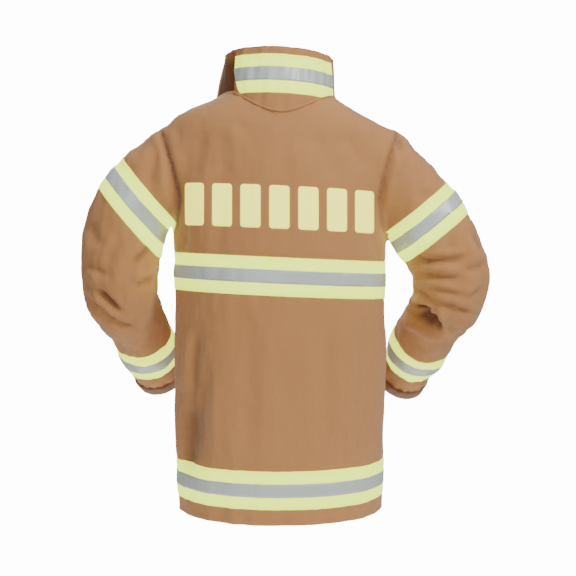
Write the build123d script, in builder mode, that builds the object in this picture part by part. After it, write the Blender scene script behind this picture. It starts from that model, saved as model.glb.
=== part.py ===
"""Firefighter's turnout coat, as it stands when worn: arms bent, cuffs carried in front of the pockets.

Millimetres. +Z up, +X towards the wearer's left, +Y behind the wearer. The origin is the centre of the
neck opening, level with the middle of the back's collar seam less the rise of the shoulders.
"""
from build123d import *
from math import cos, radians, sin
import os

os.makedirs("parts", exist_ok=True)

# ---------------------------------------------------------------- driving dimensions
HEM_Z = -818.0            # lower edge of the coat
NECK_Z = 45.0             # collar seam, at the shoulders
TRIM = 76.2               # reflective trim, three inches wide
TRIM_SILVER = 27.0        # its silver middle stripe
LEAN_DEG = 2.6            # the left shoulder is carried this much higher
LEAN_FROM_Z = -760.0      # the hem hangs level below here
LEAN_TO_Z = -330.0        # the whole lean is reached here

# Rings of the torso: height, half width and back depth. The front is a straight line.
HEM_RING = (HEM_Z, 217, 155)
WAIST_RING = (-500, 221, 156)
CHEST_RING = (-250, 221, 152)
ARMHOLE_RING = (-110, 230, 140)
TIP_RING = (-8, 238, 118)
SLOPE_RING = (15, 190, 106)
NECK_RING = (NECK_Z, 112, 95)
RINGS = (HEM_RING, WAIST_RING, CHEST_RING, ARMHOLE_RING, TIP_RING, SLOPE_RING, NECK_RING)
FRONT_HEM = 158.0         # depth of the front at the hem
FRONT_NECK = 95.0         # and at the neck

# Cloth, as insets from the coat's outer surface.
SHELL = (0.0, 1.5)        # canvas outer shell
BARRIER = (4.0, 5.0)      # moisture barrier
LINER = (6.5, 10.0)       # quilted thermal liner
TAPE = (0.3, 1.3)         # trim stands this far proud
STRIPE = (1.4, 1.9)       # and its silver stripe further

FRONT_GAP = 12.0          # half the gap between the fronts, where the zip shows
LINER_GAP = 26.0          # half the gap in the liner and barrier
SIDE_GAP = 0.5            # between the back and the fronts, along the side seams
CHEST_TRIM_Z = -324.0     # middle of each trim
HEM_TRIM_Z = -748.0

# Sleeves: shoulder pivot, bend of the upper sleeve, elbow pivot and cuff of each, and the way its
# upper trim faces.
LEFT = {"name": "left", "shoulder": Vector(210, 0, -93), "bend": Vector(308, 6, -184),
        "elbow": Vector(337, 10, -345), "cuff": Vector(280, -200, -565),
        "trim_at": Vector(286, 5, -188), "trim_faces": Vector(0.77, 0, -0.64)}
RIGHT = {"name": "right", "shoulder": Vector(-212, 0, -103), "bend": Vector(-316, 6, -225),
         "elbow": Vector(-361, 10, -348), "cuff": Vector(-280, -200, -575),
         "trim_at": Vector(-301, 5, -218), "trim_faces": Vector(-0.63, 0, -0.78)}
SIDES = (LEFT, RIGHT)
SLEEVE_R = 82.0           # upper sleeve, as it leaves the bend
ELBOW_R = 80.0            # where it meets the forearm
HEAD_R = 90.0             # sleeve head, a ball round the shoulder pivot
HEAD_STEPS = (-64.0, -40.0, -14.0, 14.0, 38.0)   # rings of the head, along the sleeve from its pivot
BALL_R = 75.5             # start of the forearm, a ball inside the end of the upper sleeve
CUFF_R = 54.0             # end of the forearm
BALL_OPEN = 50.0          # the ball is open this far behind the elbow
CLEAR = 3.0               # running clearance of the sleeve head and the elbow
FOREARM_TRIM = 0.67       # place of the forearm trim, as a share of the forearm


def save(part, name):
    part.part.label = name
    export_step(part.part, f"parts/{name}.step")


# ---------------------------------------------------------------- torso
def front_depth(z):
    return FRONT_HEM + (FRONT_NECK - FRONT_HEM) * (z - HEM_Z) / (NECK_Z - HEM_Z)


def level(z):
    """The plane across the coat at height z, tilted by the lean there."""
    share = min(1.0, max(0.0, (z - LEAN_FROM_Z) / (LEAN_TO_Z - LEAN_FROM_Z)))
    tilt = radians(LEAN_DEG * share)
    return Plane(origin=(0, 0, z), x_dir=(cos(tilt), 0, sin(tilt)), z_dir=(-sin(tilt), 0, cos(tilt)))


def ring(z, half_width, back, front, inset):
    with BuildSketch(level(z)) as section:
        with Locations((0, (back - front) / 2)):
            Ellipse(half_width - inset, (front + back) / 2 - inset)
    return section.sketch


def torso_core(inset, overrun=0.0, mode=Mode.ADD):
    """The torso's solid form, inset from its outer surface. An overrun carries it past both ends."""
    rings = [(z - (inset if z >= TIP_RING[0] else 0), a, b, front_depth(z)) for z, a, b in RINGS]
    if overrun:
        rings.insert(0, (rings[0][0] - overrun, *rings[0][1:]))
        rings.append((rings[-1][0] + overrun, *rings[-1][1:]))
    loft([ring(*r, inset) for r in rings], ruled=True, mode=mode)


def torso_layer(layer):
    torso_core(layer[0])
    torso_core(layer[1], overrun=20, mode=Mode.SUBTRACT)


def ball(centre, radius, mode=Mode.ADD):
    with Locations(centre):
        Sphere(radius, mode=mode)


def tube(start, end, start_r, end_r, overrun=0.0, mode=Mode.ADD):
    """A solid cone from start to end, carried on past both by an overrun."""
    run = end - start
    grow = (end_r - start_r) / run.length * overrun
    with Locations(Plane(origin=start - run.normalized() * overrun, z_dir=run)):
        Cone(start_r - grow, end_r + grow, run.length + 2 * overrun,
             align=(Align.CENTER, Align.CENTER, Align.MIN), mode=mode)


def disc(centre, way, radius):
    with BuildSketch(Plane(origin=centre, x_dir=(0, 1, 0), z_dir=way)) as section:
        Circle(radius)
    return section.sketch


def upper_core(side, inset, overrun=0.0, mode=Mode.ADD):
    """The upper sleeve's solid form: a round head about the shoulder, then the bent tube."""
    first = (side["bend"] - side["shoulder"]).normalized()
    last = (side["elbow"] - side["bend"]).normalized()
    discs = [disc(side["shoulder"] + first * (far - (overrun if far == HEAD_STEPS[0] else 0)), first,
                  (HEAD_R**2 - far**2)**0.5 - inset) for far in HEAD_STEPS]
    discs.append(disc(side["bend"], first + last, SLEEVE_R + 2 - inset))
    discs.append(disc(side["elbow"] + last * overrun, last, ELBOW_R - inset))
    loft(discs, ruled=True, mode=mode)


def cut_armholes():
    for side in SIDES:
        ball(side["shoulder"], HEAD_R + CLEAR, Mode.SUBTRACT)
        upper_core(side, -CLEAR, mode=Mode.SUBTRACT)


def keep_box(low, high):
    """Keeps only what lies inside a box, given by its corners."""
    size = [b - a for a, b in zip(low, high)]
    with Locations(tuple((a + b) / 2 for a, b in zip(low, high))):
        Box(*size, mode=Mode.INTERSECT)


def cut_box(low, high):
    """Takes away what lies inside a box, given by its corners."""
    size = [b - a for a, b in zip(low, high)]
    with Locations(tuple((a + b) / 2 for a, b in zip(low, high))):
        Box(*size, mode=Mode.SUBTRACT)


FAR = 600.0
with BuildPart() as back_panel:
    torso_layer(SHELL)
    keep_box((-FAR, SIDE_GAP / 2, -FAR * 2), (FAR, FAR, FAR))
    cut_armholes()
save(back_panel, "back_panel")

with BuildPart() as left_front_panel:
    torso_layer(SHELL)
    keep_box((FRONT_GAP, -FAR, -FAR * 2), (FAR, -SIDE_GAP / 2, FAR))
    cut_armholes()
save(left_front_panel, "left_front_panel")

with BuildPart() as right_front_panel:
    torso_layer(SHELL)
    keep_box((-FAR, -FAR, -FAR * 2), (-FRONT_GAP, -SIDE_GAP / 2, FAR))
    cut_armholes()
save(right_front_panel, "right_front_panel")

for lining, layer in (("moisture_barrier", BARRIER), ("thermal_liner", LINER)):
    with BuildPart() as inner:
        torso_layer(layer)
        cut_box((-LINER_GAP, -FAR, -2 * FAR), (LINER_GAP, 0, FAR))
        cut_box((-FAR, -FAR, -2 * FAR), (FAR, FAR, HEM_Z + 30))
        cut_armholes()
    save(inner, lining)


def keep_between(plane, width):
    split(bisect_by=plane.offset(width / 2), keep=Keep.BOTTOM)
    split(bisect_by=plane.offset(-width / 2), keep=Keep.TOP)


def torso_band(layer, middle_z, width):
    """A band round the torso between two planes, parted at the side seams and the front opening."""
    torso_core(-layer[1])
    torso_core(-layer[0], overrun=20, mode=Mode.SUBTRACT)
    keep_between(level(middle_z), width)
    cut_box((-FRONT_GAP - 3, -FAR, -2 * FAR), (FRONT_GAP + 3, 0, FAR))
    cut_box((-FAR, -SIDE_GAP / 2, -2 * FAR), (FAR, SIDE_GAP / 2, FAR))


for band, middle in (("chest_trim", CHEST_TRIM_Z), ("hem_trim", HEM_TRIM_Z)):
    with BuildPart() as lime:
        torso_band(TAPE, middle, TRIM)
    save(lime, band)
    with BuildPart() as silver:
        torso_band(STRIPE, middle, TRIM_SILVER)
    save(silver, band + "_stripe")

# Seven plain reflective blocks across the shoulders, where a name would go.
MARK_Z, MARK_HEIGHT, MARK_WIDTH, MARK_PITCH = -187.0, 85.0, 40.0, 57.0
with BuildPart() as back_marking:
    torso_core(-0.9)
    torso_core(-0.3, overrun=20, mode=Mode.SUBTRACT)
    keep_between(level(MARK_Z), MARK_HEIGHT)
    keep_box((-FAR, 10, -FAR), (FAR, FAR, FAR))
    with Locations(*[(MARK_PITCH * i, 100, MARK_Z) for i in range(-3, 4)]):
        Box(MARK_WIDTH, 200, 150, mode=Mode.INTERSECT)
save(back_marking, "back_marking")


# ---------------------------------------------------------------- sleeves
def forearm_layer(side, layer):
    """The forearm as one turned shell: a ball at the elbow running into a cone."""
    length = (side["cuff"] - side["elbow"]).length
    way = forearm_way(side)
    across = way.cross(Vector(0, 0, 1)).normalized()
    edges = []
    for inset in layer:
        radius = BALL_R - inset
        arc = [(radius * cos(radians(t)), radius * sin(radians(t))) for t in (180, 130, 86)]
        edges.append((arc, (length, CUFF_R - inset)))
    (outer, outer_end), (inner, inner_end) = edges
    with BuildSketch(Plane(origin=side["elbow"], x_dir=way, z_dir=way.cross(across))) as profile:
        with BuildLine():
            ThreePointArc(*outer)
            Polyline(outer[2], outer_end, inner_end, inner[2])
            ThreePointArc(*inner)
            Line(outer[0], inner[0])
        make_face()
    revolve(profile.sketch, axis=Axis(side["elbow"], way))


def forearm_way(side):
    return (side["cuff"] - side["elbow"]).normalized()


def along_forearm(side, share):
    return side["elbow"] + (side["cuff"] - side["elbow"]) * share


def forearm_radius(share):
    return BALL_R + (CUFF_R - BALL_R) * share


for side in SIDES:
    name = side["name"]
    upper_way = (side["elbow"] - side["bend"]).normalized()
    behind = (forearm_way(side) + upper_way).normalized() * -1
    for node, layer in (("upper_sleeve", SHELL), ("upper_sleeve_liner", LINER)):
        with BuildPart() as upper:
            upper_core(side, layer[0])
            upper_core(side, layer[1], overrun=8, mode=Mode.SUBTRACT)
            if layer == LINER:
                ball(side["elbow"], BALL_R + CLEAR, Mode.SUBTRACT)
            tube(side["elbow"], along_forearm(side, 0.6), BALL_R + 11, forearm_radius(0.6) + 11,
                 mode=Mode.SUBTRACT)
        save(upper, f"{name}_{node}")
    for node, layer in (("forearm_sleeve", SHELL), ("forearm_liner", LINER)):
        with BuildPart() as forearm:
            forearm_layer(side, layer)
            split(bisect_by=Plane(origin=side["elbow"] + behind * BALL_OPEN, z_dir=behind),
                  keep=Keep.BOTTOM)
        save(forearm, f"{name}_{node}")

    faces = side["trim_faces"].normalized()
    way = forearm_way(side)
    for node, layer, width in (("trim", TAPE, TRIM), ("trim_stripe", STRIPE, TRIM_SILVER)):
        with BuildPart() as upper_band:
            upper_core(side, -layer[1])
            upper_core(side, -layer[0], overrun=8, mode=Mode.SUBTRACT)
            keep_between(Plane(origin=side["trim_at"], z_dir=faces), width)
        save(upper_band, f"{name}_upper_{node}")
        with BuildPart() as forearm_band:
            tube(side["elbow"], side["cuff"], BALL_R + layer[1], CUFF_R + layer[1])
            tube(side["elbow"], side["cuff"], BALL_R + layer[0], CUFF_R + layer[0], 8, Mode.SUBTRACT)
            keep_between(Plane(origin=along_forearm(side, FOREARM_TRIM), z_dir=way), width)
        save(forearm_band, f"{name}_forearm_{node}")

    with BuildPart() as cuff_binding:
        begin, end = side["cuff"] - way * 24, side["cuff"] + way * 1.5
        tube(begin, end, CUFF_R + 3.9, CUFF_R + 2.2)
        tube(begin, end, CUFF_R + 1.9, CUFF_R + 0.2, 5, Mode.SUBTRACT)
    save(cuff_binding, f"{name}_cuff_binding")
    with BuildPart() as wristlet:
        begin, end = side["cuff"] - way * 80, side["cuff"] + way * 6
        tube(begin, end, 43.4, 39.0)
        tube(begin, end, 40.9, 36.5, 5, Mode.SUBTRACT)
    save(wristlet, f"{name}_wristlet")

# ---------------------------------------------------------------- collar
COLLAR_TOP = 143.0
COLLAR_OPEN = 42.0        # half the gap at the throat
COLLAR_RINGS = ((-4.0, 114, 114, 100), (60.0, 113, 106, 102), (COLLAR_TOP, 111, 100, 104))
COLLAR_TRIM_Z = 88.0
COLLAR_TRIM_ENDS_Y = 34.0


def collar_core(inset, overrun=0.0, mode=Mode.ADD):
    rings = list(COLLAR_RINGS)
    if overrun:
        rings.insert(0, (rings[0][0] - overrun, *rings[0][1:]))
        rings.append((rings[-1][0] + overrun, *rings[-1][1:]))
    loft([ring(*r, inset) for r in rings], ruled=True, mode=mode)


def collar_layer(layer):
    collar_core(layer[0])
    collar_core(layer[1], overrun=20, mode=Mode.SUBTRACT)
    torso_core(-0.5, mode=Mode.SUBTRACT)
    cut_box((-FAR, -FAR, -FAR), (FAR, 0, NECK_Z + 1))
    cut_box((-COLLAR_OPEN, -FAR, -FAR), (COLLAR_OPEN, 0, FAR))


for node, layer in (("collar_shell", SHELL), ("collar_lining", (3.0, 5.0))):
    with BuildPart() as collar:
        collar_layer(layer)
    save(collar, node)
for node, layer, width in (("collar_trim", TAPE, TRIM), ("collar_trim_stripe", STRIPE, TRIM_SILVER)):
    with BuildPart() as band:
        collar_core(-layer[1])
        collar_core(-layer[0], overrun=20, mode=Mode.SUBTRACT)
        keep_between(level(COLLAR_TRIM_Z), width)
        keep_box((-FAR, COLLAR_TRIM_ENDS_Y, -FAR), (FAR, FAR, FAR))
    save(band, node)

with BuildPart() as hang_loop:
    with Locations((0, 82, 20)):
        Box(64, 2, 16)
        with Locations((0, 0, -3)):
            Box(48, 4, 10, mode=Mode.SUBTRACT)
save(hang_loop, "hang_loop")

# ---------------------------------------------------------------- front closure
RISE = Vector(0, FRONT_HEM - FRONT_NECK, NECK_Z - HEM_Z).normalized()
FRONT = Plane(origin=(0, -front_depth(0), 0), x_dir=(1, 0, 0), z_dir=Vector(0, -RISE.Z, RISE.Y))


def front_box(low, high, mode=Mode.ADD):
    """A box by its corners on the front line: across, up the front, and out from it."""
    size = [b - a for a, b in zip(low, high)]
    centre = tuple((a + b) / 2 for a, b in zip(low, high))
    with Locations(FRONT * Location(centre)):
        Box(*size, mode=mode)


ZIP_BOTTOM, ZIP_TOP = -788.0, 20.0
TOOTH_PITCH = 8.0
SLIDER_AT = 6.0
for name, out in (("left", 1), ("right", -1)):
    with BuildPart() as tape:
        front_box((min(4.8 * out, 24 * out), ZIP_BOTTOM, -3.5), (max(4.8 * out, 24 * out), ZIP_TOP, -2.8))
    save(tape, f"zipper_tape_{name}")
    with BuildPart() as teeth:
        front_box((min(3.4 * out, 4.6 * out), ZIP_BOTTOM, -4.1), (max(3.4 * out, 4.6 * out), ZIP_TOP, -2.3))
        count = int((ZIP_TOP - ZIP_BOTTOM) / TOOTH_PITCH)
        spots = [FRONT * Location((2.1 * out, ZIP_BOTTOM + TOOTH_PITCH * (i + 0.5) + out * 1.5, -3.2))
                 for i in range(count)]
        with Locations(*spots):
            Box(3.0, 3.6, 1.8)
    save(teeth, f"zipper_teeth_{name}")

with BuildPart() as zipper_box:
    front_box((-7, ZIP_BOTTOM - 12, -4.6), (7, ZIP_BOTTOM - 1, -1.8))
save(zipper_box, "zipper_box")

with BuildPart() as slider:
    front_box((-7.5, SLIDER_AT - 8, -1.9), (7.5, SLIDER_AT + 8, -0.5))
    front_box((-7.5, SLIDER_AT - 8, -6.2), (7.5, SLIDER_AT + 8, -4.8))
    front_box((-0.35, SLIDER_AT - 3, -4.9), (0.35, SLIDER_AT + 5, -1.8))
    front_box((-2, SLIDER_AT - 2, -0.6), (2, SLIDER_AT + 2, 1.8))
    with Locations(FRONT * Location((0, SLIDER_AT, 0.8), (0, 90, 0))):
        Cylinder(0.75, 10, mode=Mode.SUBTRACT)
save(slider, "zipper_slider")

with BuildPart() as pull:
    front_box((-4.5, SLIDER_AT - 34, 0.1), (4.5, SLIDER_AT - 4, 1.5))
    for out in (1, -1):
        front_box((min(2.4 * out, 4.5 * out), SLIDER_AT - 4.5, 0.1),
                  (max(2.4 * out, 4.5 * out), SLIDER_AT + 0.8, 1.5))
    with Locations(FRONT * Location((0, SLIDER_AT, 0.8), (0, 90, 0))):
        Cylinder(0.5, 7)
    with Locations(FRONT * Location((0, SLIDER_AT - 28, 0.8))):
        Cylinder(1.6, 4, mode=Mode.SUBTRACT)
save(pull, "zipper_pull")

FLAP_HINGE_X, FLAP_EDGE_X = 46.0, -38.0
FLAP_BOTTOM, FLAP_TOP = -796.0, -42.0
with BuildPart() as storm_flap:
    front_box((FLAP_EDGE_X, FLAP_BOTTOM, 3.0), (FLAP_HINGE_X, FLAP_TOP, 5.5))
save(storm_flap, "storm_flap")

with BuildPart() as storm_flap_loop_strip:
    torso_core(-1.4)
    torso_core(-0.3, overrun=20, mode=Mode.SUBTRACT)
    keep_box((-36, -FAR, -780), (-18, 0, -70))
    cut_box((-FAR, -FAR, HEM_TRIM_Z - 90), (FAR, FAR, HEM_TRIM_Z + TRIM / 2 + 6))
    cut_box((-FAR, -FAR, CHEST_TRIM_Z - TRIM / 2 - 6), (FAR, FAR, CHEST_TRIM_Z + TRIM / 2 + 6))
save(storm_flap_loop_strip, "storm_flap_loop_strip")

TAB_HINGE_X = 54.0
with BuildPart() as throat_tab:
    with Locations((0, -107, 84)):
        Box(2 * TAB_HINGE_X, 2.5, 34)
        fillet(throat_tab.edges().filter_by(Axis.Y).group_by(Axis.X)[0], 10)
save(throat_tab, "throat_tab")

# ---------------------------------------------------------------- pockets
POCKET_X, POCKET_Z = 112.0, -612.0
POCKET_WIDTH, POCKET_HEIGHT, POCKET_DEPTH = 126.0, 180.0, 34.0
POCKET_TURN = 21.8        # degrees round from straight ahead
POCKET_SURFACE = 122.5    # depth of the front where each pocket is sewn
POCKET_WALL = 1.6
HINGE_UP, HINGE_OUT = 104.6, 2.4
for name, out in (("left", 1), ("right", -1)):
    turn = radians(POCKET_TURN)
    place = Plane(origin=(out * POCKET_X, -POCKET_SURFACE, POCKET_Z), x_dir=(cos(turn), out * sin(turn), 0),
                  z_dir=(out * sin(turn), -cos(turn), 0.073))
    with BuildPart() as pocket:
        with Locations(place):
            with Locations((0, 0, POCKET_DEPTH)):
                Box(POCKET_WIDTH, POCKET_HEIGHT, 70, align=(Align.CENTER, Align.CENTER, Align.MAX))
            with Locations((0, POCKET_WALL, POCKET_DEPTH - POCKET_WALL)):
                Box(POCKET_WIDTH - 2 * POCKET_WALL, POCKET_HEIGHT, 90,
                    align=(Align.CENTER, Align.CENTER, Align.MAX), mode=Mode.SUBTRACT)
        torso_core(-0.4, mode=Mode.SUBTRACT)
    save(pocket, f"{name}_pocket")
    with BuildPart() as flap:
        with BuildSketch(Plane(origin=place.origin, x_dir=place.y_dir, z_dir=place.x_dir)):
            # local x is up the pocket, local y is out from the coat
            Polygon((HINGE_UP - 2.1, 1.8), (92.6, 35.6), (36, 35.6), (36, 37.8), (94.4, 37.8),
                    (HINGE_UP, HINGE_OUT), align=None)
        extrude(amount=POCKET_WIDTH / 2 + 3, both=True)
    save(flap, f"{name}_pocket_flap")
    with BuildPart() as strip:
        with Locations(place):
            with Locations((0, 62, POCKET_DEPTH + 0.7)):
                Box(104, 28, 1.1)
    save(strip, f"{name}_pocket_loop_strip")
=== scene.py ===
"""The looks of the turnout coat: one garment surface cut into pieces, with trim, collar and closures."""
import math
import bpy
import bmesh
import numpy as np
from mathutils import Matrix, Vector, noise
from mathutils.bvhtree import BVHTree


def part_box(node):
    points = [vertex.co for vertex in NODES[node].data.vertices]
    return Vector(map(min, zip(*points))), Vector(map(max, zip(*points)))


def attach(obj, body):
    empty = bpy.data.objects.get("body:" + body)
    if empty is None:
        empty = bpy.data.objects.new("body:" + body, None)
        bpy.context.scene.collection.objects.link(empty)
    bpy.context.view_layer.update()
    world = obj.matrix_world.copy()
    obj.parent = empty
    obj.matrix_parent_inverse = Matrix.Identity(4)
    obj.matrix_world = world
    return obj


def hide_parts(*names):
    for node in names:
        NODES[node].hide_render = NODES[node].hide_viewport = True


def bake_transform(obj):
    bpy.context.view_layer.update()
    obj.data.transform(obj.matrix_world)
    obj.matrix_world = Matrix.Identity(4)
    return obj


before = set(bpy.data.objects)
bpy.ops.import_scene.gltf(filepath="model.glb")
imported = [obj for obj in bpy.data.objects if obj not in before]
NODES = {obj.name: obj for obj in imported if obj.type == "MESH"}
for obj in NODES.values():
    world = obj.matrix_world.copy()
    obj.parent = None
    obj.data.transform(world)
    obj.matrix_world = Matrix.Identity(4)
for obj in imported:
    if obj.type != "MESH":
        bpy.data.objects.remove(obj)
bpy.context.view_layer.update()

# ------------ the garment's form, in millimetres
HEM_Z, NECK_Z = -818.0, 45.0
LEAN, LEAN_FROM, LEAN_TO = math.radians(2.6), -760.0, -330.0
RINGS = np.array([(-860, 217, 155), (-818, 217, 155), (-500, 221, 156), (-250, 221, 152), (-110, 230, 140),
                  (-8, 238, 118), (15, 190, 106), (45, 112, 95), (60, 100, 92)], float)
TRIM, SILVER = 76.2, 27.0
CHEST_Z, HEM_TRIM_Z, MARK_Z = -324.0, -748.0, -187.0
SLEEVES = {
    "left": {"side": 1, "shoulder": (210, 0, -93), "bend": (308, 6, -184), "elbow": (337, 10, -345),
             "cuff": (280, -200, -565), "trim_at": (286, 5, -188), "trim_faces": (0.77, 0, -0.64)},
    "right": {"side": -1, "shoulder": (-212, 0, -103), "bend": (-316, 6, -225), "elbow": (-361, 10, -348),
              "cuff": (-280, -200, -575), "trim_at": (-301, 5, -218), "trim_faces": (-0.63, 0, -0.78)},
}
for s in SLEEVES.values():
    for which in ("shoulder", "bend", "elbow", "cuff", "trim_at"):
        s[which] = np.array(s[which], float)
FOREARM_TRIM = 0.67  # how far down the forearm its trim sits


def front_depth(z):
    return 158.0 - 63.0 * (z - HEM_Z) / (NECK_Z - HEM_Z)


def ring_at(z):
    """Half width, back and front depth at height z, eased where the rings change slope."""
    spread = np.array([-24.0, -12.0, 0.0, 12.0, 24.0])
    zs = np.clip(z + spread, RINGS[0, 0], RINGS[-1, 0])
    half = float(np.mean(np.interp(zs, RINGS[:, 0], RINGS[:, 1])))
    back = float(np.mean(np.interp(zs, RINGS[:, 0], RINGS[:, 2])))
    return half, back, front_depth(z)


def lean_at(z):
    return LEAN * min(1.0, max(0.0, (z - LEAN_FROM) / (LEAN_TO - LEAN_FROM)))


def torso_point(theta, z, out=0.0):
    """A point of the torso; theta is measured from the middle of the back towards the wearer's left."""
    half, back, front = ring_at(z)
    x = (half + out) * math.sin(theta)
    y = (back - front) / 2 + ((back + front) / 2 + out) * math.cos(theta)
    tilt = lean_at(z)
    return Vector((x * math.cos(tilt), y, z + x * math.sin(tilt)))


def unit(v):
    v = np.asarray(v, float)
    return v / np.linalg.norm(v)


def new_object(name, data):
    thing = bpy.data.objects.new(name, data)
    bpy.context.scene.collection.objects.link(thing)
    return thing


def smooth_piece(name, mesh):
    for p in mesh.polygons:
        p.use_smooth = True
    return new_object(name, mesh)


def make_mesh(name, verts, faces):
    """A smooth piece from points in millimetres."""
    mesh = bpy.data.meshes.new(name)
    mesh.from_pydata([tuple(float(c) * 0.001 for c in v) for v in verts], [], faces)
    mesh.update()
    return smooth_piece(name, mesh)


def face_outwards(piece, merge=0.0):
    """Turns the piece's faces outwards, after closing any doubled points."""
    bm = bmesh.new()
    bm.from_mesh(piece.data)
    if merge:
        bmesh.ops.remove_doubles(bm, verts=bm.verts, dist=merge)
    bmesh.ops.recalc_face_normals(bm, faces=bm.faces)
    bm.to_mesh(piece.data)
    bm.free()


def grid_faces(columns, rows, first=0, turned=False):
    """The faces of a grid of points stored row by row."""
    quads = []
    for j in range(rows):
        for i in range(columns):
            k = first + j * (columns + 1) + i
            quad = (k, k + columns + 1, k + columns + 2, k + 1)
            quads.append((quad[0], quad[3], quad[2], quad[1]) if turned else quad)
    return quads


def loft(name, rings, closed_ends=True):
    verts = [p for r in rings for p in r]
    n = len(rings[0])
    faces = [(k * n + i, k * n + (i + 1) % n, (k + 1) * n + (i + 1) % n, (k + 1) * n + i)
             for k in range(len(rings) - 1) for i in range(n)]
    if closed_ends:
        faces.append(tuple(range(n))[::-1])
        faces.append(tuple((len(rings) - 1) * n + i for i in range(n)))
    return make_mesh(name, verts, faces)


def sleeve_path(s):
    """A smooth line down the middle of a sleeve, and its radius at each point."""
    sh, be, el, cu = (s[k] for k in ("shoulder", "bend", "elbow", "cuff"))
    way = unit(cu - el)
    knots = [sh - unit(be - sh) * 60, sh, be, el, el + (cu - el) * 0.45, cu, cu + way * 25]
    radii = [70, 84, 83, 79.5, 66, 54.5, 53]
    path, rad = [], []
    for i in range(1, len(knots) - 1):
        p0, p1 = knots[i - 1], knots[i]
        pm = knots[i - 2] if i >= 2 else 2 * p0 - p1
        pn = knots[i + 1]
        for t in np.linspace(0, 1, 24, endpoint=False):
            path.append(0.5 * (2 * p0 + (p1 - pm) * t + (2 * pm - 5 * p0 + 4 * p1 - pn) * t**2
                               + (3 * p0 - pm - 3 * p1 + pn) * t**3))
            rad.append(radii[i - 1] + (radii[i] - radii[i - 1]) * (3 * t**2 - 2 * t**3))
    for t in np.linspace(0, 1, 6):
        path.append(knots[-2] + (knots[-1] - knots[-2]) * t)
        rad.append(radii[-2] + (radii[-1] - radii[-2]) * t)
    return np.array(path), np.array(rad)


def tube_rings(path, rad, sides=56):
    rings = []
    up = np.array([0.0, 1.0, 0.0])
    for i in range(len(path)):
        way = unit(path[min(i + 1, len(path) - 1)] - path[max(i - 1, 0)])
        a = unit(up - way * up.dot(way))
        b = np.cross(way, a)
        rings.append([path[i] + rad[i] * (math.cos(t) * a + math.sin(t) * b)
                      for t in np.linspace(0, 2 * math.pi, sides, endpoint=False)])
        up = a
    return rings


# ------------ one closed surface, remeshed
torso_levels = list(np.linspace(-850, -120, 60)) + list(np.linspace(-108, 52, 28))
solid = loft("garment", [[torso_point(t, z) for t in np.linspace(0, 2 * math.pi, 120, endpoint=False)]
                         for z in torso_levels])
parts = [solid]
for key, s in SLEEVES.items():
    s["path"], s["rad"] = sleeve_path(s)
    keep = [i for i in range(len(s["path"])) if i % 2 == 0 or i == len(s["path"]) - 1]
    parts.append(loft("sleeve_" + key, tube_rings(s["path"][keep], s["rad"][keep])))
for p in parts:
    face_outwards(p)
with bpy.context.temp_override(active_object=solid, object=solid, selected_objects=parts,
                               selected_editable_objects=parts):
    bpy.ops.object.join()
remesh = solid.modifiers.new("whole", "REMESH")
remesh.mode = "VOXEL"
remesh.voxel_size = 0.0058
depsgraph = bpy.context.evaluated_depsgraph_get()
whole = bpy.data.meshes.new_from_object(solid.evaluated_get(depsgraph))
bpy.data.objects.remove(solid)

bm = bmesh.new()
bm.from_mesh(whole)
bm.verts.ensure_lookup_table()
co = np.array([v.co for v in bm.verts]) * 1000


def near_path(points, s):
    """Nearest path index, and distance, of each point from a sleeve's middle line."""
    path = s["path"]
    index = np.zeros(len(points), int)
    dist = np.full(len(points), 1e9)
    for i in range(len(path)):
        d = np.linalg.norm(points - path[i], axis=1)
        better = d < dist
        index[better], dist[better] = i, d[better]
    return index, dist


# the join of sleeve and body is eased, like cloth that runs over it
join = np.zeros(len(co))
for key, s in SLEEVES.items():
    seam = s["shoulder"] + np.array([s["side"] * 12, 0, -15])
    join = np.maximum(join, np.clip(1.5 - np.linalg.norm(co - seam, axis=1) / 130.0, 0, 1))
all_verts = list(bm.verts)
ends = (co[:, 2] < HEM_Z + 30) | (co[:, 2] > 20)
for _ in range(3):
    bmesh.ops.smooth_vert(bm, verts=[v for v, e in zip(all_verts, ends) if not e], factor=0.5,
                          use_axis_x=True, use_axis_y=True, use_axis_z=True)
for _ in range(14):
    bmesh.ops.smooth_vert(bm, verts=[v for v, j in zip(all_verts, join) if j > 0.25], factor=0.5,
                          use_axis_x=True, use_axis_y=True, use_axis_z=True)
bm.to_mesh(whole)
bm.free()

co = np.empty(len(whole.vertices) * 3)
whole.vertices.foreach_get("co", co)
co = co.reshape(-1, 3) * 1000
nor = np.array([v.normal for v in whole.vertices])

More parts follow.
